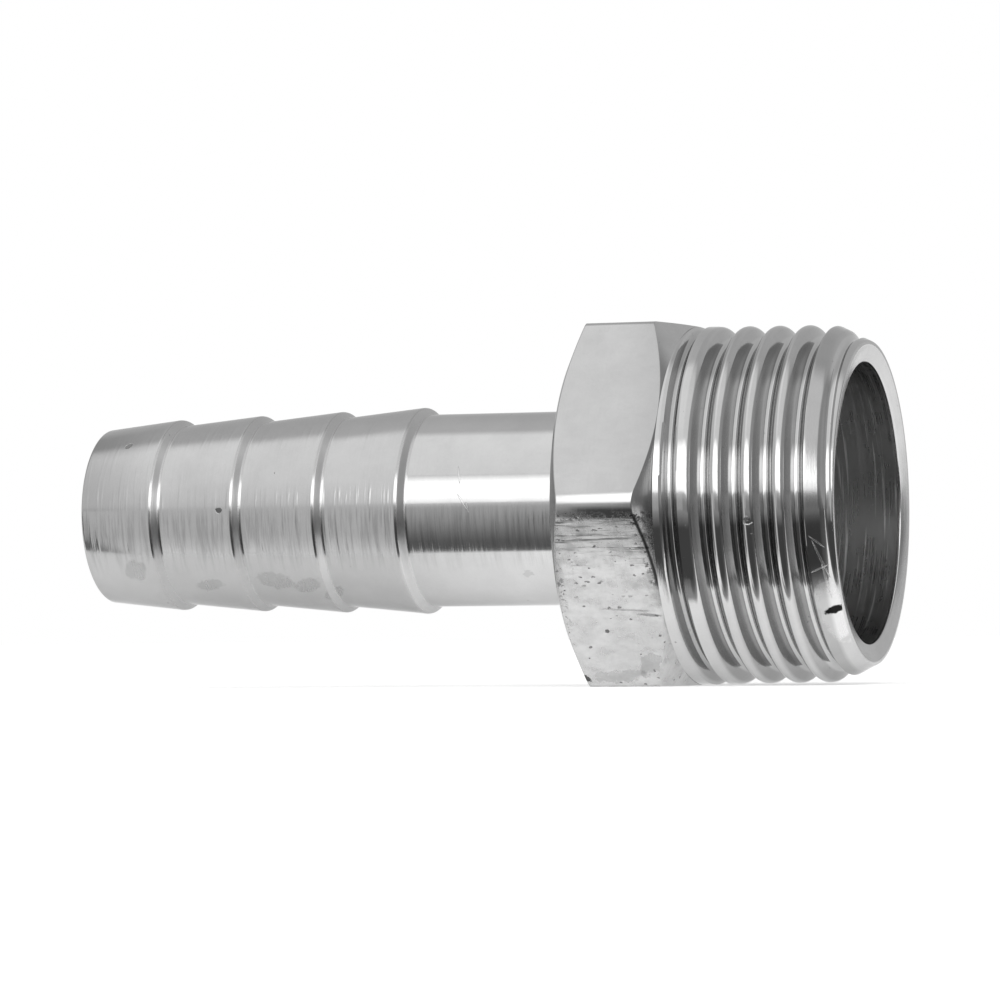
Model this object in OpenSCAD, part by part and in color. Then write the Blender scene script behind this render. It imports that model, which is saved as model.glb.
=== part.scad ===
// Hose tail adapter for gas: a barbed tail for a 12 mm hose, a hexagon for the spanner and
// a half inch male pipe thread with a wide open mouth, turned from one bar of brass.
// The axis lies along X with the mouth towards +X. The origin is on the axis, where the thread
// meets the hexagon, and one flat of the hexagon faces down.

/* [Hose tail] */
// Number of barbs
barb_count = 4; // [2:1:5]
// Length from one barb crest to the next
barb_pitch = 5.22; // [4.6:0.01:5.8]
// Length from the end of the tail to the first crest
first_crest = 4.66; // [3:0.01:6]
// Diameter over the first crest
first_crest_d = 11.55; // [11.2:0.05:12.4]
// Diameter over the last crest
last_crest_d = 12.32; // [11.8:0.05:13]
// Drop from a crest to the root behind it
barb_drop = 0.36; // [0.15:0.01:0.6]
// Length of the short ramp behind a crest
barb_back = 0.43; // [0.2:0.01:1]
// Radius that softens the crests and roots
barb_round = 0.3; // [0.1:0.05:0.4]
// Diameter at the end of the tail, where the first barb starts
nose_d = 10.5; // [10.2:0.05:11]
// Radius round the end of the tail
nose_round = 0.45; // [0.1:0.05:0.5]
// Diameter of the plain shank
shank_d = 11.46; // [11.2:0.02:11.8]
// Length of the plain shank, from the last crest to the hexagon
shank_len = 10.75; // [6:0.05:20]
// Bore through the tail
tail_bore_d = 9.4; // [6:0.1:9.6]

/* [Hexagon] */
// Width across the flats
hex_af = 21; // [21:0.5:27]
// Length between the two faces
hex_len = 6.15; // [4:0.05:12]
// Slope of the turned corners, from the plane of the face
hex_chamfer = 28; // [15:1:40]
// How much smaller than the flats the round face on the tail side is
hex_face_inset = 0.25; // [0.05:0.05:0.6]
// Radius that polishing gave the six long edges
hex_edge_round = 0.6; // [0.3:0.05:2.5]

/* [Thread] */
// Major diameter, at the hexagon
thread_d = 20.955; // [20.7:0.005:20.955]
// Pitch, 14 threads to the inch
thread_pitch = 1.814; // [1.6:0.001:1.814]
// Length of the threaded end, from the hexagon to the mouth
thread_len = 10.24; // [8:0.01:14]
// Half of the angle between the flanks
flank_angle = 27.5; // [25:0.5:30]
// Radius of the crests, which polishing has made rounder than new
crest_round = 0.42; // [0.25:0.01:0.45]
// Radius of the roots
root_round = 0.25; // [0.15:0.01:0.3]
// Loss of diameter for each millimetre towards the mouth
thread_taper = 0.025; // [0:0.005:0.0625]
// Length over which the last groove grows shallow beside the hexagon
runout_len = 2.3; // [1.5:0.1:3]
// Turn of the helix about the axis
thread_turn = 92; // [0:1:359]

/* [Mouth] */
// Bore at the mouth
mouth_d = 16.35; // [14:0.05:16.6]
// Depth of the wide bore
mouth_depth = 5.5; // [5:0.1:12]
// Diameter of the outer edge of the end face
rim_d = 18.8; // [18.2:0.1:19.4]
// Slope of the lead-in, from the axis
lead_angle = 27; // [20:1:60]
// Width of the flat left on the end face, between the lead-in and the bevel of the mouth
rim_flat = 0.2; // [0.1:0.05:0.3]
// Depth of the bevel inside the mouth
mouth_bevel = 0.23; // [0.1:0.01:0.6]
// Angle of the drill point at the bottom of the wide bore
drill_angle = 118; // [90:1:140]

/* [Hidden] */
$fn = 96;
metal = "silver";
// Straight pieces in a rounded corner, in half of a root of the thread and in one turn of it
arc_steps = 4;
root_steps = 2;
turn_steps = 48;
// Share of a side that a rounding may take, and places along the arc of a thread crest
side_share = 0.45;
crest_shares = [1, 0.65, 0.3];
// How far a solid runs into the next one, or a cutter past the surface it cuts
overlap = 0.5;
groove_clear = 0.1;

// Places along the axis
shoulder_x = 0;
mouth_x = shoulder_x + thread_len;
hex_back_x = shoulder_x - hex_len;
last_crest_x = hex_back_x - shank_len;
first_crest_x = last_crest_x - (barb_count - 1) * barb_pitch;
tail_end_x = first_crest_x - first_crest;

// Radii
thread_r = thread_d / 2;
hex_face_r = hex_af / 2 - hex_face_inset;
hex_turn = 60;
hex_corner_r = hex_af / 2 / cos(hex_turn / 2);

// The flanks alone would meet in sharp edges, and each rounding takes its share of that height
sharp_depth = thread_pitch / 2 / tan(flank_angle);
thread_depth = sharp_depth - (crest_round + root_round) * (1 / sin(flank_angle) - 1);

function blank_r(x) = thread_r - thread_taper / 2 * (x - shoulder_x);
function crest_x(i) = first_crest_x + i * barb_pitch;
function crest_r(i) = (first_crest_d + (last_crest_d - first_crest_d) * i / (barb_count - 1)) / 2;

// Corners of an outline are [x, radius, rounding]. This gives the outline's points, with each
// corner that has a rounding replaced by an arc, which takes less than half of either side.
function unit(v) = v / norm(v);
function point(corner) = [corner[0], corner[1]];
function arc_points(a, b, c, rounding) =
    let (u = unit(a - b), v = unit(c - b), half = acos(u * v) / 2,
         r = min(rounding, side_share * min(norm(a - b), norm(c - b)) * tan(half)),
         centre = b + unit(u + v) * r / sin(half), start = b + u * r / tan(half) - centre,
         side = sign(u[0] * v[1] - u[1] * v[0]))
    [for (k = [0:arc_steps]) let (t = -side * k / arc_steps * (180 - 2 * half))
        centre + [start[0] * cos(t) - start[1] * sin(t), start[0] * sin(t) + start[1] * cos(t)]];
function outline(corners) =
    let (n = len(corners))
    [for (i = [0:n - 1]) let (b = point(corners[i]), rounding = corners[i][2])
        each rounding == 0 ? [b]
            : arc_points(point(corners[(i + n - 1) % n]), b, point(corners[(i + 1) % n]), rounding)];

// Turns an outline of [x, radius] about the X axis
module turned(points) {
    rotate([0, 90, 0]) rotate_extrude() polygon([for (p = points) [p[1], p[0]]]);
}

// The barbed tail and its shank, solid
module tail() {
    barbs = [for (i = [0:barb_count - 1])
        let (root_r = i < barb_count - 1 ? crest_r(i) - barb_drop : shank_d / 2)
        each [[crest_x(i), crest_r(i), barb_round], [crest_x(i) + barb_back, root_r, barb_round]]];
    turned(outline(concat(
        [[tail_end_x, 0, 0], [tail_end_x, nose_d / 2, nose_round]],
        barbs,
        [[hex_back_x + overlap, shank_d / 2, 0], [hex_back_x + overlap, 0, 0]])));
}

// The hexagon, with its edges rounded and its corners turned off at both faces
module hexagon() {
    back_run = (hex_corner_r - hex_face_r) * tan(hex_chamfer);
    front_run = (hex_corner_r - thread_r) * tan(hex_chamfer);
    spare_r = hex_corner_r + overlap;
    corners = [for (a = [hex_turn / 2:hex_turn:360])
        [hex_corner_r * cos(a), hex_corner_r * sin(a), hex_edge_round]];
    intersection() {
        translate([hex_back_x, 0, 0]) rotate([0, 90, 0])
            linear_extrude(hex_len) polygon(outline(corners));
        turned([[hex_back_x, 0], [hex_back_x, hex_face_r],
                [hex_back_x + back_run, hex_corner_r],
                [hex_back_x + back_run, spare_r],
                [shoulder_x - front_run, spare_r],
                [shoulder_x - front_run, hex_corner_r],
                [shoulder_x, thread_r], [shoulder_x, 0]]);
    }
}

// The plain end before its thread is cut, with the lead-in at the mouth
module thread_blank() {
    lead_run = (blank_r(mouth_x) - rim_d / 2) / tan(lead_angle);
    turned([[shoulder_x - overlap, 0], [shoulder_x - overlap, blank_r(shoulder_x) - thread_depth],
            [shoulder_x, blank_r(shoulder_x)], [mouth_x - lead_run, blank_r(mouth_x - lead_run)],
            [mouth_x, rim_d / 2], [mouth_x, 0]]);
}

// Half of the groove's section, from the middle of its root to just short of the crest's
// middle, as [offset along the axis, height below the major diameter]
function half_section() =
    let (span = 90 - flank_angle,
         root = [for (k = [0:root_steps]) let (t = span * k / root_steps)
             [root_round * sin(t), -thread_depth + root_round * (1 - cos(t))]],
         crest = [for (share = crest_shares) let (t = span * share)
             [thread_pitch / 2 - crest_round * sin(t), -crest_round * (1 - cos(t))]],
         last = crest[len(crest) - 1])
    concat(root, crest, [[last[0], overlap]]);

// The helical groove, as one closed cutter that starts clear of the blank
module thread_groove() {
    half = half_section();
    section = concat([for (k = [len(half) - 1:-1:1]) [-half[k][0], half[k][1]]], half);
    count = len(section);
    steps = ceil((thread_len + thread_pitch) / thread_pitch * turn_steps);
    points = [for (i = [0:steps])
        let (x = shoulder_x + i * thread_pitch / turn_steps, a = thread_turn + i * 360 / turn_steps,
             reach = min(1, sqrt((x - shoulder_x) / runout_len)),
             lift = (thread_depth + groove_clear) * (1 - reach))
        each [for (p = section) let (r = blank_r(x + p[0]) + p[1] + lift)
            [x + p[0], r * sin(a), -r * cos(a)]]];
    sides = [for (i = [0:steps - 1], k = [0:count - 1])
        let (a = i * count + k, b = i * count + (k + 1) % count, c = a + count, d = b + count)
        each [[a, c, b], [b, c, d]]];
    first = [for (k = [0:count - 1]) k];
    last = [for (k = [count - 1:-1:0]) steps * count + k];
    polyhedron(points = points, faces = concat([first], sides, [last]));
}

// The threaded end. Its groove is cut here, so that it leaves the face of the hexagon whole
module threaded_end() {
    difference() {
        thread_blank();
        thread_groove();
    }
}

// The way through: the tail's bore, then the wide bore with its drill point and bevel
module way_through() {
    bottom_x = mouth_x - mouth_depth;
    point_run = (mouth_d - tail_bore_d) / 2 / tan(drill_angle / 2);
    turned([[tail_end_x - overlap, 0], [tail_end_x - overlap, tail_bore_d / 2],
            [bottom_x - point_run, tail_bore_d / 2], [bottom_x, mouth_d / 2],
            [mouth_x - mouth_bevel, mouth_d / 2], [mouth_x, rim_d / 2 - rim_flat],
            [mouth_x + overlap, rim_d / 2 - rim_flat], [mouth_x + overlap, 0]]);
}

module adapter_body() {
    color(metal) difference() {
        union() {
            tail();
            hexagon();
            threaded_end();
        }
        way_through();
    }
}

adapter_body();
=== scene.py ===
"""A gas hose adapter on a white table in soft studio light, plated, turned and worn as the photo shows."""
from math import acos, atan2, ceil, cos, pi, radians, sin, sqrt, tan

import bmesh
import bpy
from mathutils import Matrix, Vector


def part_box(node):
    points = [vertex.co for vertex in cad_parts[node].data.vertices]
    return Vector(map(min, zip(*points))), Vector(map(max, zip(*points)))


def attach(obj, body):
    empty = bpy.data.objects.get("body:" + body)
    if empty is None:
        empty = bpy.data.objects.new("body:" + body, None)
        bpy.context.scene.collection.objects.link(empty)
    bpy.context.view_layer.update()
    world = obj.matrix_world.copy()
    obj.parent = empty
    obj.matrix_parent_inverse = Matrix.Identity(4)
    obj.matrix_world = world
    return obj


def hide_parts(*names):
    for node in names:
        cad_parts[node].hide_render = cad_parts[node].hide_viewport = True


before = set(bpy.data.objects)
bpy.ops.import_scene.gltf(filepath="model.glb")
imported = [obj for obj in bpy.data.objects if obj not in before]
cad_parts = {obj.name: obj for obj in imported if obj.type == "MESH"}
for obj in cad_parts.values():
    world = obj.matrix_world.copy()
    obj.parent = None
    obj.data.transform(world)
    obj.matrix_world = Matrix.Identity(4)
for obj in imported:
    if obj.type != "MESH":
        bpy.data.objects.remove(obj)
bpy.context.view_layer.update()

MM = 0.001
low, high = (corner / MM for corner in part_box("adapter_body"))

# Sizes in millimetres and angles in degrees, as in the solid
tail_end_x, mouth_x = low.x, high.x
shoulder_x = 0.0
barb_count, barb_pitch, first_crest = 4, 5.22, 4.66
first_crest_d, last_crest_d = 11.55, 12.32
barb_drop, barb_back, barb_round = 0.36, 0.43, 0.3
nose_d, nose_round = 10.5, 0.45
shank_d, tail_bore_d = 11.46, 9.4
hex_len, hex_chamfer, hex_face_inset, hex_edge_round = 6.15, 28.0, 0.25, 0.6
hex_apothem = high.z
thread_d, thread_pitch, flank_angle = 20.955, 1.814, 27.5
crest_round, root_round = 0.42, 0.25
thread_taper, runout_len, thread_turn = 0.025, 2.3, 92.0
groove_clear = 0.1
mouth_d, mouth_depth, rim_d = 16.35, 5.5, 18.8
lead_angle, rim_flat, mouth_bevel, drill_angle = 27.0, 0.2, 0.23, 118.0

# What polishing did to the hexagon's front edge, the two flats beside it and the turned edges
front_edge_round, front_turn, front_chamfer = 1.75, 0.9, 32.0
turned_edge_round, blend_round = 0.1, 0.05
tail_bevel = 0.12

# Narrow bands of mesh that keep the shading of the long faces beside them even: a share of the
# hexagon's turned corner next to the thread, and a length inside the mouth
shoulder_band, mouth_band = 0.05, 0.2

hex_back_x = shoulder_x - hex_len
last_crest_x = tail_end_x + first_crest + (barb_count - 1) * barb_pitch
bottom_x = mouth_x - mouth_depth
band_end_x = mouth_x - mouth_bevel - mouth_band
hex_face_r = hex_apothem - hex_face_inset
thread_depth = (thread_pitch / 2 / tan(radians(flank_angle))
                - (crest_round + root_round) * (1 / sin(radians(flank_angle)) - 1))
thread_turns = ceil((mouth_x - shoulder_x) / thread_pitch) + 1

# How finely the mesh follows the round parts
round_steps, small_round_steps = 6, 4
root_steps, crest_steps = 4, 6
angle_steps, edge_steps, front_edge_steps = 288, 4, 8

# Materials of the body, in the order of its slots
TAIL, SHANK, HEXAGON, THREAD, MOUTH, BORE = range(6)


# The outline of the turned body. A corner is (x, radius, rounding)

def rounded(before, corner, after, rounding, steps):
    """The points of the arc that rounds one corner of an outline."""
    side_share, smallest, straight = 0.45, 1e-4, radians(89.5)
    b = Vector(corner)
    u, v = Vector(before) - b, Vector(after) - b
    shorter = min(u.length, v.length)
    u.normalize()
    v.normalize()
    half = acos(max(-1.0, min(1.0, u.dot(v)))) / 2
    r = min(rounding, side_share * shorter * tan(half))
    if r < smallest or half > straight:
        return [tuple(b)]
    centre = b + (u + v).normalized() * r / sin(half)
    start = b + u * r / tan(half) - centre
    side = 1 if u.x * v.y - u.y * v.x > 0 else -1
    turns = [-side * k / steps * (pi - 2 * half) for k in range(steps + 1)]
    return [(centre.x + start.x * cos(t) - start.y * sin(t),
             centre.y + start.x * sin(t) + start.y * cos(t)) for t in turns]


def outline(corners, steps):
    """Points of an open outline, with its inner corners rounded."""
    points = [corners[0][:2]]
    for before, corner, after in zip(corners, corners[1:], corners[2:]):
        place, rounding = corner[:2], corner[2]
        points += rounded(before[:2], place, after[:2], rounding, steps) if rounding else [place]
    return points + [corners[-1][:2]]


def tail_corners():
    corners = [(tail_end_x, tail_bore_d / 2 + tail_bevel, 0), (tail_end_x, nose_d / 2, nose_round)]
    for i in range(barb_count):
        share = i / (barb_count - 1)
        crest_r = (first_crest_d + (last_crest_d - first_crest_d) * share) / 2
        x = tail_end_x + first_crest + i * barb_pitch
        root_r = crest_r - barb_drop if i < barb_count - 1 else shank_d / 2
        corners += [(x, crest_r, barb_round), (x + barb_back, root_r, barb_round)]
    return corners + [(hex_back_x, shank_d / 2, 0)]


def on_barb_step(x):
    """Whether a place is on the short ramp behind a crest."""
    clear = 0.02
    past_crest = (x - tail_end_x - first_crest) % barb_pitch
    return x > tail_end_x + first_crest / 2 and clear < past_crest < barb_back


# The hexagon, as a radius at an angle about the axis, where 0 is straight down

# Angles of the flats
FLATS = tuple(radians(a) for a in (0, 60, 120, 180, 240 + front_turn, 300 + front_turn))
FRONT_EDGE = 4


def hex_corner(k):
    """The corner after a flat: its angle, then its rounding's centre, radius and half its angle."""
    a, b = FLATS[k], FLATS[k + 1] if k < len(FLATS) - 1 else 2 * pi
    half_turn = (b - a) / 2
    rounding = front_edge_round if k == FRONT_EDGE else hex_edge_round
    reach = (hex_apothem - rounding) / cos(half_turn)
    half = atan2(rounding * sin(half_turn), reach + rounding * cos(half_turn))
    return (a + b) / 2, reach, rounding, half


CORNERS = [hex_corner(k) for k in range(len(FLATS))]


def hex_r(angle):
    for middle, reach, rounding, half in CORNERS:
        off = abs((angle - middle + pi) % (2 * pi) - pi)
        if off < half:
            return reach * cos(off) + sqrt(rounding ** 2 - (reach * sin(off)) ** 2)
    return hex_apothem / max(cos(angle - flat) for flat in FLATS)


def hex_corners(angle):
    r = hex_r(angle)
    back_run = (r - hex_face_r) * tan(radians(hex_chamfer))
    front_rise = r - thread_d / 2
    front_run = front_rise * tan(radians(front_chamfer))
    return [(hex_back_x, shank_d / 2, 0),
            (hex_back_x, hex_face_r, turned_edge_round),
            (hex_back_x + back_run, r, turned_edge_round),
            (shoulder_x - front_run, r, turned_edge_round),
            (shoulder_x - shoulder_band * front_run, thread_d / 2 + shoulder_band * front_rise, 0),
            (shoulder_x, thread_d / 2, 0)]


# The thread, as a radius at a place along the axis and an angle about it

def soft_min(a, b, width=blend_round):
    h = max(width - abs(a - b), 0.0) / width
    return min(a, b) - h * h * width / 4


def groove_height(offset):
    """Height of the groove's section above the major diameter's line, at an offset from its root."""
    span = radians(90 - flank_angle)
    root_end = root_round * sin(span)
    crest_start = thread_pitch / 2 - crest_round * sin(span)
    p = abs(offset)
    if p < root_end:
        return -thread_depth + root_round - sqrt(root_round ** 2 - p * p)
    if p > crest_start:
        q = min(crest_round, abs(thread_pitch / 2 - p)) if p < thread_pitch / 2 else 0.0
        return -crest_round + sqrt(crest_round ** 2 - q * q)
    root_top = -thread_depth + root_round * (1 - cos(span))
    return root_top + (p - root_end) / tan(radians(flank_angle))


def blank_r(x):
    return thread_d / 2 - thread_taper / 2 * (x - shoulder_x)


def groove_x(angle, turn):
    """Place of the groove's root at an angle, on one of its turns."""
    return shoulder_x + thread_pitch * (((angle - radians(thread_turn)) / (2 * pi)) % 1 + turn)


def thread_r(x, angle):
    """The blank's radius, less the groove, which grows shallow beside the shoulder, and less the lead-in."""
    r, hair = blank_r(x), 1e-9
    for turn in range(thread_turns):
        root_x = groove_x(angle, turn)
        if abs(x - root_x) < thread_pitch / 2 + hair:
            reach = min(1.0, sqrt((root_x - shoulder_x) / runout_len))
            lift = (thread_depth + groove_clear) * (1 - reach)
            groove_r = blank_r(x) + groove_height(x - root_x) + lift
            r = soft_min(r, groove_r) if lift else groove_r
    return soft_min(r, rim_d / 2 + (mouth_x - x) * tan(radians(lead_angle)), 2 * blend_round)


def thread_offsets():
    """Offsets from a root to the next one, close together where the section is round."""
    span = radians(90 - flank_angle)
    root = [root_round * sin(span * k / root_steps) for k in range(root_steps + 1)]
    crest = [thread_pitch / 2 - crest_round * sin(span * k / crest_steps) for k in range(crest_steps, -1, -1)]
    half = root + [(root[-1] + crest[0]) / 2] + crest
    return [-p for p in half[:0:-1]] + half[:-1]


def thread_points(angle):
    """The threaded length at an angle. Its points keep their place on the section all along the helix."""
    end_x = mouth_x - turned_edge_round
    points = []
    for turn in range(-1, thread_turns):
        for offset in thread_offsets():
            x = min(max(groove_x(angle, turn) + offset, shoulder_x), end_x)
            points.append((x, thread_r(x, angle)))
    return points


def mouth_corners(start):
    """From the thread's last point round the rim, down the wide bore and back along the tail's bore."""
    point_run = (mouth_d - tail_bore_d) / 2 / tan(radians(drill_angle / 2))
    return [(*start, 0), (mouth_x, rim_d / 2, turned_edge_round),
            (mouth_x, rim_d / 2 - rim_flat, turned_edge_round),
            (mouth_x - mouth_bevel, mouth_d / 2, turned_edge_round),
            (band_end_x, mouth_d / 2, 0),
            (bottom_x, mouth_d / 2, turned_edge_round),
            (bottom_x - point_run, tail_bore_d / 2, turned_edge_round),
            (tail_end_x + tail_bevel, tail_bore_d / 2, 0)]


# The body: one closed mesh, a section at each angle about the axis

def section_angles():
    """Even steps about the axis, with closer ones round the corners of the hexagon."""
    clear = 1.05
    angles = [2 * pi * k / angle_steps for k in range(angle_steps)]
    for corner, _, rounding, half in CORNERS:
        steps = front_edge_steps if rounding == front_edge_round else edge_steps
        angles = [a for a in angles if abs(a - corner) > half * clear]
        angles += [corner + half * sin(pi / 2 * j / steps) for j in range(-steps, steps + 1)]
    return sorted(angles)


def section(angle):
    """Points of the section at an angle, and the material of the surface that starts at each."""
    tail = outline(tail_corners(), round_steps)
    hexagon = outline(hex_corners(angle), small_round_steps)
    thread = thread_points(angle)
    mouth = outline(mouth_corners(thread[-1]), small_round_steps)
    points = tail + hexagon[1:] + thread + mouth[1:]
    zones = ([SHANK if x > last_crest_x or on_barb_step(x) else TAIL for x, r in tail[:-1]]
             + [HEXAGON] * (len(hexagon) - 1) + [THREAD] * len(thread)
             + [MOUTH if x > band_end_x + mouth_band / 2 else BORE for x, r in mouth[:-1]] + [TAIL])
    return points, zones


def rows_beside(zones, starts_again):
    """The next section's point beside each point. The thread's are one turn on where its helix starts."""
    rows = list(range(len(zones)))
    if starts_again:
        first = zones.index(THREAD) + 1
        last = first + zones.count(THREAD) - 1
        for i in range(first, last + 1):
            rows[i] = min(i + len(thread_offsets()), last)
    return rows


def make_body():
    angles = section_angles()
    vertices, faces, zone_of_face = [], [], []
    for angle in angles:
        points, zones = section(angle)
        vertices += [(x * MM, r * sin(angle) * MM, -r * cos(angle) * MM) for x, r in points]
    rows = len(zones)
    for j, angle in enumerate(angles):
        after = (j + 1) % len(angles)
        beside = rows_beside(zones, groove_x(angles[after], 0) < groove_x(angle, 0))
        here, there = j * rows, after * rows
        for i in range(rows):
            k = (i + 1) % rows
            corners = here + i, there + beside[i], there + beside[k], here + k
            faces.append(tuple(dict.fromkeys(corners)))
            zone_of_face.append(zones[i])
    mesh = bpy.data.meshes.new("adapter")
    mesh.from_pydata(vertices, [], faces)
    mesh.polygons.foreach_set("material_index", zone_of_face)
    body = bpy.data.objects.new("adapter", mesh)
    bpy.context.scene.collection.objects.link(body)
    return body


def tidy_mesh(body):
    """Joins the points that fell together, and leaves no face without an area."""
    closest, sharp_from = 0.0002 * MM, 35
    bm = bmesh.new()
    bm.from_mesh(body.data)
    bmesh.ops.remove_doubles(bm, verts=bm.verts, dist=closest)
    bmesh.ops.dissolve_degenerate(bm, edges=bm.edges, dist=closest)
    bmesh.ops.recalc_face_normals(bm, faces=bm.faces)
    bm.to_mesh(body.data)
    bm.free()
    body.data.shade_smooth()
    body.data.set_sharp_from_angle(angle=radians(sharp_from))


# Materials

class Nodes:
    """A short way to write a node tree."""

    def __init__(self, tree):
        self.tree = tree
        tree.nodes.clear()

    def add(self, kind, inputs=None, **settings):
        node = self.tree.nodes.new(kind)
        for name, value in settings.items():
            setattr(node, name, value)
        for key, value in (inputs or {}).items():
            if isinstance(value, bpy.types.NodeSocket):
                self.tree.links.new(value, node.inputs[key])
            else:
                node.inputs[key].default_value = value
        return node

    def math(self, operation, a, b):
        return self.add("ShaderNodeMath", {0: a, 1: b}, operation=operation).outputs[0]

    def times(self, value, *others):
        for other in others:
            value = self.math("MULTIPLY", value, other)
        return value

    def plus(self, value, *others):
        for other in others:
            value = self.math("ADD", value, other)
        return value

    def minus(self, a, b):
        return self.math("SUBTRACT", a, b)

    def split(self, vector):
        return self.add("ShaderNodeSeparateXYZ", {0: vector}).outputs

    def stretch(self, vector, scale):
        return self.add("ShaderNodeVectorMath", {0: vector, 1: scale}, operation="MULTIPLY").outputs[0]

    def millimetres(self):
        """The place on the object in millimetres, as a vector and as its x, y and z."""
        place = self.add("ShaderNodeTexCoord").outputs["Object"]
        mm = self.stretch(place, (1 / MM,) * 3)
        return mm, *self.split(mm)

    def span(self, value, from_low, from_high, to_low=0.0, to_high=1.0):
        """A level that goes from one value to another over a range, and is level past both ends."""
        return self.add("ShaderNodeMapRange", {"Value": value, "From Min": from_low, "From Max": from_high,
                                               "To Min": to_low, "To Max": to_high}).outputs[0]

    def window(self, value, start, full, fade, end):
        """0 outside a range and 1 inside it, with a slope at each end."""
        return self.times(self.span(value, end, fade), self.span(value, start, full))

    def mix(self, factor, a, b):
        return self.add("ShaderNodeMix", {"Factor": factor, "A": a, "B": b}, data_type="FLOAT").outputs[0]

    def curve(self, angle, points, top=2.0):
        """A level for an angle in radians, by straight lines between (degrees, level) points."""
        node = self.add("ShaderNodeFloatCurve", {"Value": self.span(angle, -pi, pi)})
        curve = node.mapping.curves[0]
        for place, level in points[1:-1]:
            curve.points.new((place + 180) / 360, level / top)
        for end, (_, level) in ((0, points[0]), (len(curve.points) - 1, points[-1])):
            curve.points[end].location.y = level / top
        for point in curve.points:
            point.handle_type = "VECTOR"
        node.mapping.update()
        return self.times(node.outputs[0], top)

    def noise(self, vector, scale, detail, roughness=0.5):
        """Noise at one scale, or at a scale for each axis."""
        if isinstance(scale, tuple):
            vector, scale = self.stretch(vector, scale), 1.0
        return self.add("ShaderNodeTexNoise", {"Vector": vector, "Scale": scale, "Detail": detail,
                                               "Roughness": roughness}).outputs[0]

    def glow(self, strength):
        return self.add("ShaderNodeEmission", {"Strength": strength})

    def surface(self, shader):
        self.add("ShaderNodeOutputMaterial", {"Surface": shader.outputs[0]})


def new_material(name):
    material = bpy.data.materials.new(name)
    material.use_nodes = True
    return material, Nodes(material.node_tree)


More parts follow.
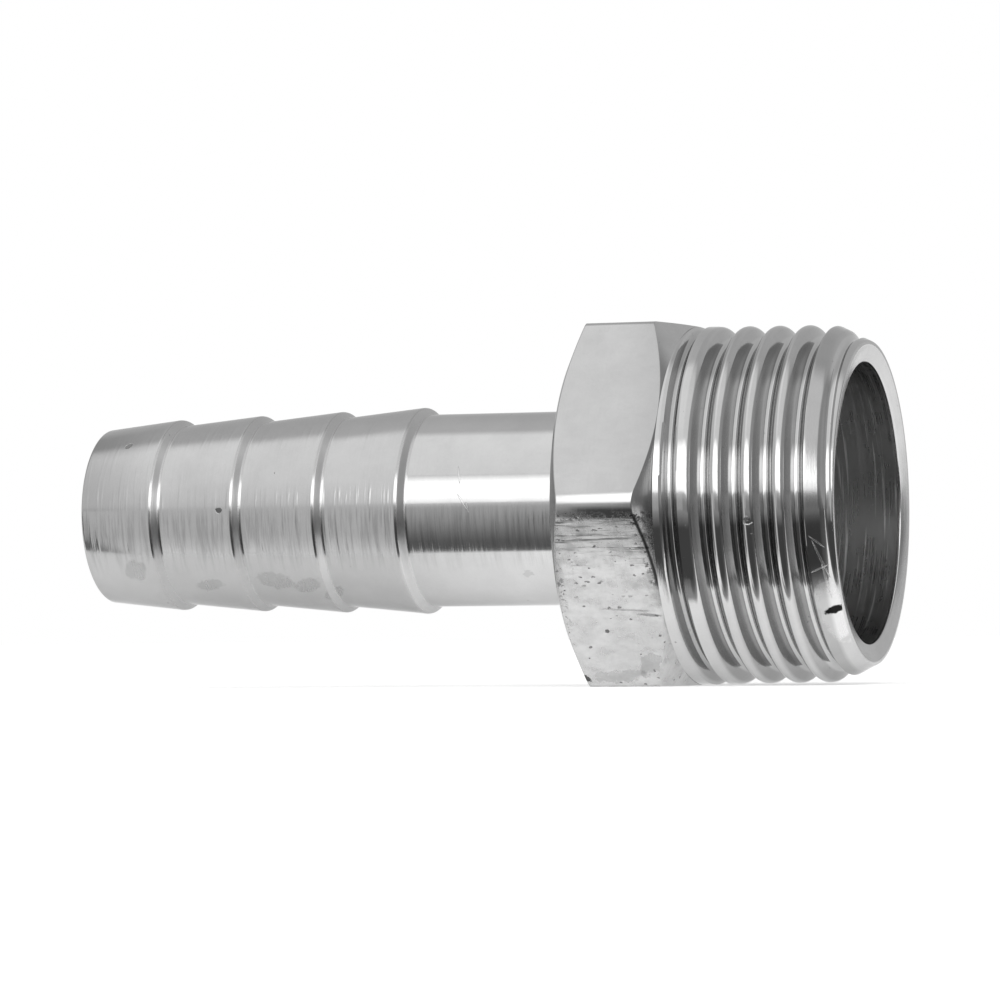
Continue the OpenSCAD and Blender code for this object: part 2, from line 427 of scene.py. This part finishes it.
class Finish:
    """Plated brass, built up from its rings, smudges, pits and marks. Lengths are in millimetres."""

    def __init__(self, name, tint, rough, ring_slope=0.0, ring_scale=3.0, front_slope=0.0):
        """The turning marks have a slope and a number to the millimetre, and are steeper in front."""
        self.material, self.n = new_material(name)
        n = self.n
        self.mm, self.x, self.y, self.z = n.millimetres()
        self.facing = n.split(n.add("ShaderNodeTexCoord").outputs["Normal"])[0]
        smudge = n.noise(self.mm, 0.45, 4.0, 0.6)
        grain = n.noise(self.mm, 14.0, 2.0, 0.6)
        lines = n.noise(self.mm, (12.0, 0.12, 0.12), 2.0, 0.6)
        rings = n.span(n.noise(self.mm, (ring_scale, 0.22, 0.22), 1.0), 0.54, 0.74)
        front_band = n.times(n.window(self.z, -3.4, -2.4, 0.9, 1.6), n.span(self.y, 0.0, -1.0))
        slope = n.span(front_band, 0.0, 1.0, ring_slope, ring_slope + front_slope)
        self.tone = n.times(n.span(smudge, 0.35, 0.7, tint * 1.02, tint * 0.95),
                            n.span(grain, 0.3, 0.7, 1.02, 0.98))
        self.rough = n.plus(n.span(smudge, 0.3, 0.7, rough, rough * 1.5),
                            n.span(lines, 0.45, 0.75, 0.0, rough * 0.8))
        self.height = n.plus(n.times(rings, slope, 0.4 / ring_scale),
                             n.times(grain, 0.00035), n.times(lines, 0.0003))

    def shade(self, mask, level):
        """Multiplies the tint by a level where the mask is 1."""
        self.tone = self.n.times(self.tone, self.n.span(mask, 0.0, 1.0, 1.0, level))

    def dull(self, amount):
        self.rough = self.n.plus(self.rough, amount)

    def lift(self, height):
        self.height = self.n.plus(self.height, height)

    def dip(self, mask, depth=0.0, level=1.0, dulling=0.0):
        """Sinks a mask into the surface, shades it and dulls it."""
        self.lift(self.n.times(mask, -depth))
        self.shade(mask, level)
        self.dull(self.n.times(mask, dulling))

    def mark(self, centre, size, turn=0.0, ragged=0.3, **dip):
        """A mark on the camera's side, at a centre in x and z. Its size is half its length and width."""
        n = self.n
        u, v = n.minus(self.x, centre[0]), n.minus(self.z, centre[1])
        c, s = cos(radians(turn)), sin(radians(turn))
        p = n.plus(n.times(u, c / size[0]), n.times(v, s / size[0]))
        q = n.plus(n.times(u, -s / size[1]), n.times(v, c / size[1]))
        fray = n.times(n.minus(n.noise(self.mm, 1.2 / min(size), 2.0), 0.5), 4 * ragged)
        inside = n.span(n.plus(n.times(p, p), n.times(q, q), fray), 1.15, 0.7)
        self.dip(n.times(inside, n.span(self.y, 0.0, -0.5)), **dip)

    def streaks(self, depth):
        """Fine dark streaks round the lower front, each across the axis, painted on the camera's side in the
        band where the metal mirrors the studio's dark front: painted shade.
        """
        n = self.n
        lines = n.span(n.noise(self.mm, (4.5, 0.3, 0.3), 3.0, 0.65), 0.45, 0.65)
        front_band = n.times(n.window(self.z, -3.8, -2.2, -0.5, 0.3), n.span(self.y, 0.0, -1.0))
        self.shade(n.times(front_band, lines), 1.0 - depth)

    def pits(self, scale, share, size, level, stretch=(1, 1, 1), where=1.0, seed=0.0):
        """Small pits in one cell out of many."""
        n = self.n
        moved = n.add("ShaderNodeVectorMath", {0: n.stretch(self.mm, stretch), 1: (seed,) * 3})
        noise = n.add("ShaderNodeTexNoise", {"Vector": self.mm, "Scale": 4.0, "Detail": 1.0})
        fray = n.stretch(noise.outputs["Color"], (0.25,) * 3)
        ragged = n.add("ShaderNodeVectorMath", {0: moved.outputs[0], 1: fray}).outputs[0]
        cells = n.add("ShaderNodeTexVoronoi", {"Vector": ragged, "Scale": scale, "Randomness": 1.0})
        chance, width, _ = n.add("ShaderNodeSeparateColor", {0: cells.outputs["Color"]}).outputs
        reach = n.times(n.span(width, 0.0, 1.0, 0.35, 1.0), size)
        inside = n.span(n.math("DIVIDE", cells.outputs["Distance"], reach), 1.0, 0.6)
        pitted = n.times(n.math("GREATER_THAN", chance, 1 - share), inside, where)
        self.dip(pitted, depth=0.03, level=level, dulling=0.15)

    def done(self):
        n = self.n
        bump = n.add("ShaderNodeBump", {"Height": self.height, "Distance": MM, "Strength": 1.0})
        colour = n.add("ShaderNodeCombineColor", {0: self.tone, 1: self.tone, 2: self.tone})
        n.surface(n.add("ShaderNodeBsdfPrincipled", {
            "Base Color": colour.outputs[0], "Metallic": 1.0, "Specular Tint": (0.7, 0.7, 0.7, 1),
            "Roughness": self.rough, "Normal": bump.outputs[0]}))
        return self.material


def tail_finish():
    f = Finish("plated_tail", tint=0.475, rough=0.11, ring_slope=0.018, ring_scale=3.5, front_slope=0.05)
    # Painted shade: dark streaks where the metal mirrors the dark front of the studio
    f.streaks(0.22)
    f.pits(scale=1.1, share=0.12, size=0.1, level=0.7)
    f.mark((-28.11, 0.07), (0.2, 0.17), depth=0.03, level=0.3, dulling=0.3)
    f.mark((-34.7, 4.1), (0.25, 0.14), 20, depth=0.02, level=0.6, dulling=0.2)
    smudges = (((-34.0, -3.4), (0.75, 0.6), 20), ((-25.2, -4.1), (1.3, 0.5), -8),
               ((-23.2, -4.4), (0.9, 0.4), 15), ((-21.8, -4.9), (0.7, 0.3), 30),
               ((-29.5, -4.3), (1.0, 0.3), 5))
    for centre, size, turn in smudges:
        f.mark(centre, size, turn, ragged=0.45, level=0.86, dulling=0.1)
    return f.done()


def shank_finish():
    f = Finish("plated_shank", tint=0.5, rough=0.06, ring_slope=0.01, ring_scale=6.0, front_slope=0.006)
    # The ramps behind the crests share this finish, and are duller
    f.dull(f.n.span(f.facing, 0.2, 0.45, 0.0, 0.22))
    # Painted shade: dark streaks where the metal mirrors the dark front of the studio
    f.streaks(0.2)
    f.pits(scale=0.9, share=0.1, size=0.08, level=0.7)
    scratches = (((-12.9, 0.3), (0.55, 0.045), -58), ((-13.2, 1.9), (0.5, 0.04), -80),
                 ((-12.6, 0.0), (0.3, 0.04), -75))
    for centre, size, turn in scratches:
        f.mark(centre, size, turn, ragged=0.25, depth=-0.02, level=1.25, dulling=0.1)
    f.mark((-9.4, -3.9), (0.35, 0.2), 10, ragged=0.7, level=0.85, dulling=0.1)
    return f.done()


def hexagon_finish():
    """Clean above. The lower flat in front is mottled, pitted and scratched, with crumbled edges."""
    f = Finish("plated_hexagon", tint=0.47, rough=0.1)
    n = f.n
    near = n.times(n.span(f.y, -1.0, -4.0), n.span(f.facing, -0.6, -0.3))
    worn = n.times(near, n.span(f.z, -0.8, -1.1))
    mottle = n.noise(f.mm, (0.9, 1.4, 1.4), 3.0, 0.6)
    f.lift(n.times(n.noise(f.mm, (0.6, 2.0, 2.0), 3.0, 0.6), 0.0008))
    f.lift(n.times(mottle, worn, 0.006))
    f.tone = n.times(f.tone, n.mix(worn, n.span(mottle, 0.35, 0.7, 1.01, 0.98),
                                   n.span(mottle, 0.35, 0.7, 1.04, 0.86)))
    f.dull(n.times(n.span(mottle, 0.4, 0.7, 0.0, 0.2), worn))
    f.pits(scale=1.5, share=0.5, size=0.22, level=0.45, stretch=(0.9, 1.5, 1.5), where=worn)
    f.pits(scale=2.4, share=0.7, size=0.26, level=0.45, stretch=(0.8, 1.3, 1.3),
           where=n.times(worn, n.span(f.z, -6.0, -4.0)), seed=3.7)
    f.pits(scale=1.2, share=0.15, size=0.08, level=0.75, where=n.minus(1.0, worn), seed=7.1)
    # Painted shade: the turned corners beside the thread are darkened, as they mirror a darker part of the
    # studio
    f.shade(n.times(n.span(f.facing, 0.35, 0.55), n.window(f.z, -6.0, -4.8, 4.0, 7.0)), 0.66)

    # Scratched lines under the front edge
    scratched = n.noise(f.mm, (0.45, 6.0, 6.0), 3.0, 0.65)
    for top, bottom, share in ((-0.95, -1.4, 0.47), (-1.8, -2.2, 0.44), (-2.5, -2.8, 0.5), (-1.1, -3.6, 0.6)):
        band = n.window(f.z, bottom - 0.1, bottom + 0.1, top - 0.08, top + 0.08)
        lines = n.span(scratched, share, share + 0.12)
        f.dip(n.times(lines, band, near), depth=0.002, level=0.55, dulling=0.2)

    # Crumbs along the front edge
    crumbs = n.noise(f.mm, (2.4, 3.0, 3.0), 4.0, 0.8)
    edge = n.times(n.window(f.z, -1.15, -0.9, -0.7, -0.5), near)
    f.dip(n.times(n.span(crumbs, 0.52, 0.56), edge), depth=0.003, level=0.25, dulling=0.3)

    # A dark line and crumbs along the curve where the lower flat meets the turned corner
    flat_middle_z, flat_slant, curve_start, curve_bend = -5.25, 1.155, 0.014, 0.0298
    off_middle = n.times(n.minus(f.z, flat_middle_z), flat_slant)
    past_curve = n.plus(f.x, curve_start, n.times(off_middle, off_middle, curve_bend))
    line = n.window(past_curve, -0.12, -0.07, 0.02, 0.08)
    crumbled = n.times(n.window(past_curve, -0.5, -0.25, 0.02, 0.08), n.span(crumbs, 0.52, 0.57))
    along = n.times(n.window(f.z, -5.0, -4.6, -0.8, -0.6), near)
    f.dip(n.times(n.math("MAXIMUM", line, crumbled), along), depth=0.003, level=0.22, dulling=0.3)

    # Crumbs along the edge on the tail's side
    back_edge = n.times(n.span(f.x, -5.5, -5.75), n.span(crumbs, 0.56, 0.6), worn)
    f.dip(back_edge, depth=0.003, level=0.5, dulling=0.3)

    # The dent at the lower corner, two smudges, two long scratches and a pit
    f.mark((-5.25, -10.0), (0.3, 0.14), -35, ragged=0.5, depth=0.02, level=0.2, dulling=0.3)
    f.mark((-5.9, -9.2), (0.2, 0.1), -50, ragged=0.5, depth=0.01, level=0.4, dulling=0.3)
    f.mark((-1.3, -9.2), (0.75, 0.6), 30, ragged=0.8, level=0.8, dulling=0.15)
    f.mark((-3.2, -9.9), (1.6, 0.35), 2, ragged=0.9, level=0.86, dulling=0.15)
    f.mark((-0.8, -6.4), (0.7, 0.08), -4, ragged=0.6, depth=0.004, level=0.6, dulling=0.2)
    f.mark((-2.2, -6.1), (1.4, 0.06), -3, ragged=0.8, depth=0.002, level=0.8, dulling=0.2)
    f.mark((-3.5, -7.3), (0.13, 0.1), depth=0.02, level=0.3, dulling=0.2)
    return f.done()


def thread_finish():
    f = Finish("plated_thread", tint=0.5, rough=0.06)
    n = f.n
    radius = n.math("SQRT", n.plus(n.times(f.y, f.y), n.times(f.z, f.z)), 0.0)
    # Painted shade: the flanks, between the roots and the crests, are darkened, and most so below the axis
    shaded_flanks = n.window(radius, 9.68, 9.8, 10.22, 10.36)
    f.shade(shaded_flanks, 0.86)
    f.shade(n.times(shaded_flanks, n.span(f.z, 0.3, -0.5)), 0.84)
    f.dull(n.times(shaded_flanks, 0.05))
    f.lift(n.times(n.noise(f.mm, (9.0, 1.5, 1.5), 3.0, 0.7), 0.0016))
    f.pits(scale=2.4, share=0.14, size=0.12, level=0.6)
    # The pit on a crest, with its raised rim
    f.mark((5.47, -1.06), (0.13, 0.13), depth=-0.03, dulling=0.1)
    f.mark((5.5, -1.2), (0.24, 0.2), ragged=0.5, depth=0.02, level=0.5, dulling=0.1)
    # The notch at the mouth, in a rubbed patch, painted near black as shade in its hollow, and the burrs
    # above it
    f.mark((9.7, -6.3), (0.75, 1.7), 8, ragged=0.5, level=1.25, dulling=0.2)
    f.mark((9.75, -6.2), (0.56, 0.2), 22, ragged=0.35, depth=0.01, level=0.04, dulling=0.4)
    burrs = (((9.45, -3.4), (1.0, 0.05), -70), ((9.6, -4.6), (0.9, 0.05), -82),
             ((9.3, -2.4), (0.45, 0.04), -40), ((9.35, -3.9), (0.5, 0.04), 25))
    for centre, size, turn in burrs:
        f.mark(centre, size, turn, depth=-0.03, level=1.3, dulling=0.15)
    return f.done()


def mouth_finish():
    f = Finish("plated_mouth", tint=0.5, rough=0.14, ring_slope=0.02)
    f.pits(scale=3.0, share=0.2, size=0.14, level=0.7)
    return f.done()


def bore_finish():
    # Painted shade: the bore has a darker tint than the outside, darker still towards the mouth
    f = Finish("plated_bore", tint=0.4, rough=0.22, ring_slope=0.012, ring_scale=1.2)
    f.tone = f.n.times(f.tone, f.n.span(f.x, 5.5, 9.5, 1.0, 0.75))
    cuts = f.n.noise(f.mm, (4.5, 0.16, 0.16), 2.0)
    f.shade(f.n.span(cuts, 0.6, 0.68), 2.0)
    return f.done()


# The studio. The dome is what the metal mirrors, and the camera sees the white world past it

def sheet(name, corners, material):
    mesh = bpy.data.meshes.new(name)
    mesh.from_pydata([(x * MM, y * MM, z * MM) for x, y, z in corners], [], [(0, 1, 2, 3)])
    mesh.materials.append(material)
    item = bpy.data.objects.new(name, mesh)
    bpy.context.scene.collection.objects.link(item)
    return item


def make_floor():
    """A white table. The metal mirrors only the part behind its front edge, which is out of the picture."""
    material, n = new_material("table_white")
    path = n.add("ShaderNodeLightPath").outputs
    _, x, y, _ = n.millimetres()
    # The table glows evenly for the camera. In the metal's reflections it glows more under the hexagon and
    # shank than under the tail: a painted reflection
    seen = n.plus(n.times(path["Is Camera Ray"], 0.4),
                  n.times(path["Is Glossy Ray"], n.span(x, -12.0, -21.0, 0.7, 0.33)))
    paper = n.add("ShaderNodeBsdfDiffuse", {"Color": (0.88, 0.88, 0.88, 1)})
    table = n.add("ShaderNodeAddShader", {0: paper.outputs[0], 1: n.glow(seen).outputs[0]})
    # A tab in front of the edge, which the lower flat of the hexagon mirrors
    slant = n.minus(x, n.times(n.plus(y, 12.0), 0.3))
    tab = n.times(n.window(slant, -9.1, -8.5, -1.3, -0.8), n.span(y, -20.0, -14.0))
    mirrored = n.math("MAXIMUM", tab, n.span(y, -11.6, -10.8))
    gone = n.times(path["Is Glossy Ray"], n.minus(1.0, mirrored))
    clear = n.add("ShaderNodeBsdfTransparent")
    n.surface(n.add("ShaderNodeMixShader", {0: gone, 1: table.outputs[0], 2: clear.outputs[0]}))
    size, z = 60000.0, low.z
    sheet("table", [(-size, -size, z), (size, -size, z), (size, size, z), (-size, size, z)], material)


def make_card(name, y, left, right, bottom, top, level):
    """An upright glowing card in front, out of the camera's sight. Its level depends on x and z."""
    material, n = new_material(name)
    _, x, _, z = n.millimetres()
    n.surface(n.glow(level(n, x, z)))
    card = sheet(name, [(left, y, bottom), (right, y, bottom), (right, y, top), (left, y, top)], material)
    card.visible_camera = False
    return card


def strip_level(n, x, z):
    """Brightest at its middle. The strip ends short of the tail, so the barbs do not mirror it."""
    return n.times(n.span(z, 13.0, 30.0, 1.9, 3.0), n.span(z, 56.0, 84.0, 1.0, 0.42),
                   n.span(x, -60.0, -20.0, 0.7, 1.0))


def fill_level(n, x, z):
    """The pale card left of the strip light, which only the barbs mirror."""
    return n.times(n.span(z, -50.0, -115.0, 0.84, 1.15), n.span(x, -58.0, -66.0, 0.7, 1.0))


def dark_level(n, x, z):
    """The dark front of the studio, close to the thread, which the shank mirrors only in part."""
    return n.span(z, -5.0, -15.0, 0.4, 0.09)


def make_cards():
    make_card("strip_light", y=-100, left=-60, right=90, bottom=12, top=84, level=strip_level)
    make_card("fill_card", y=-100, left=-140, right=-58, bottom=-150, top=11, level=fill_level)
    dark = make_card("dark_card", y=-60, left=-24, right=70, bottom=-62, top=-4, level=dark_level)
    dark.visible_diffuse = dark.visible_shadow = False


# Levels round the dome at angles about the object's axis, where 0 is level in front and 90 straight up.
# The shank, the flats and the thread's crests mirror FRONT, surfaces turned to the mouth MIDDLE,
# the barbs LEFT, and the ramps behind the barbs and the hexagon's turned corners RIGHT
FRONT = ((-180, 0.5), (-56, 0.45), (-52, 0.3), (-47, 0.17), (-38, 0.19), (-28, 0.3), (-18, 0.44),
         (-8, 0.58), (2, 0.65), (8, 1.0), (40, 1.2), (60, 1.25), (97, 1.3), (106, 0.8), (130, 0.78),
         (150, 0.8), (180, 0.8))
MIDDLE = ((-180, 0.5), (-62, 0.5), (-54, 0.16), (-42, 0.08), (-32, 0.1), (-20, 0.2), (-8, 0.32),
          (2, 0.42), (8, 0.9), (40, 1.1), (90, 1.05), (104, 0.62), (130, 0.68), (150, 0.8), (180, 0.9))
LEFT = ((-180, 0.6), (-60, 0.5), (-50, 0.2), (-40, 0.17), (-20, 0.25), (-5, 0.35), (5, 0.5), (12, 0.8),
        (60, 0.85), (96, 0.92), (105, 0.5), (132, 0.5), (145, 0.8), (180, 0.9))
RIGHT = ((-180, 0.2), (-150, 0.22), (-75, 0.45), (-50, 0.14), (-10, 0.13), (5, 0.25), (20, 0.5), (110, 0.5),
         (150, 0.3), (180, 0.2))


def dome_material():
    material, n = new_material("studio_dome")
    place = n.add("ShaderNodeTexCoord").outputs["Object"]
    along, depth, up = n.split(n.add("ShaderNodeVectorMath", {0: place}, operation="NORMALIZE").outputs[0])
    angle = n.math("ARCTAN2", up, n.times(depth, -1.0))
    level = n.mix(n.span(along, -0.28, -0.16), n.curve(angle, FRONT), n.curve(angle, MIDDLE))
    shifted = n.minus(along, n.span(angle, radians(85), radians(98), 0.0, 0.1))
    level = n.mix(n.span(shifted, -0.5, -0.65), level, n.curve(angle, LEFT))
    level = n.mix(n.span(along, 0.6, 0.7), level, n.curve(angle, RIGHT))
    n.surface(n.glow(level))
    return material


def make_dome():
    rows, columns, radius = 32, 64, 5000 * MM
    vertices, faces = [], []
    for i in range(rows + 1):
        rise = pi * (i / rows - 0.5)
        ring_r, height = radius * cos(rise), radius * sin(rise)
        for j in range(columns):
            turn = 2 * pi * j / columns
            vertices.append((ring_r * cos(turn), ring_r * sin(turn), height))
    for i in range(rows):
        for j in range(columns):
            here, beside = i * columns + j, i * columns + (j + 1) % columns
            faces.append((here, beside, beside + columns, here + columns))
    mesh = bpy.data.meshes.new("studio_dome")
    mesh.from_pydata(vertices, [], faces)
    mesh.materials.append(dome_material())
    dome = bpy.data.objects.new("studio_dome", mesh)
    bpy.context.scene.collection.objects.link(dome)
    dome.visible_camera = False


def make_world():
    world = bpy.data.worlds.new("white")
    bpy.context.scene.world = world
    world.use_nodes = True
    n = Nodes(world.node_tree)
    sky = n.add("ShaderNodeBackground", {"Color": (1, 1, 1, 1), "Strength": 1.0})
    n.add("ShaderNodeOutputWorld", {"Surface": sky.outputs[0]})


# The camera, as fitted to the object's outline in the photo. It looks slightly up from near the table

def make_camera():
    azimuth, elevation, roll = radians(18.078), radians(-1.718), radians(0.504)
    distance, focus = 279.41 * MM, Vector((-12.455, 0, 0.565)) * MM
    back = Vector((sin(azimuth) * cos(elevation), -cos(azimuth) * cos(elevation), sin(elevation)))
    right = Vector((cos(azimuth), sin(azimuth), 0))
    up = back.cross(right)
    turned_right = right * cos(roll) - up * sin(roll)
    turned_up = right * sin(roll) + up * cos(roll)
    camera = bpy.data.objects.new("camera", bpy.data.cameras.new("camera"))
    bpy.context.scene.collection.objects.link(camera)
    matrix = camera.matrix_world
    for column, axis in enumerate((turned_right, turned_up, back)):
        for row in range(3):
            matrix[row][column] = axis[row]
    matrix.translation = focus + back * distance
    camera.matrix_world = matrix
    camera.data.sensor_width = 36.0
    camera.data.lens = 169.3
    camera.data.clip_start = 0.01
    camera.data.clip_end = 500.0
    bpy.context.scene.camera = camera


body = make_body()
for finish in (tail_finish, shank_finish, hexagon_finish, thread_finish, mouth_finish, bore_finish):
    body.data.materials.append(finish())
tidy_mesh(body)
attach(body, "root")
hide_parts("adapter_body")

make_floor()
make_cards()
make_dome()
make_world()
make_camera()
bpy.context.scene.view_settings.view_transform = "Standard"
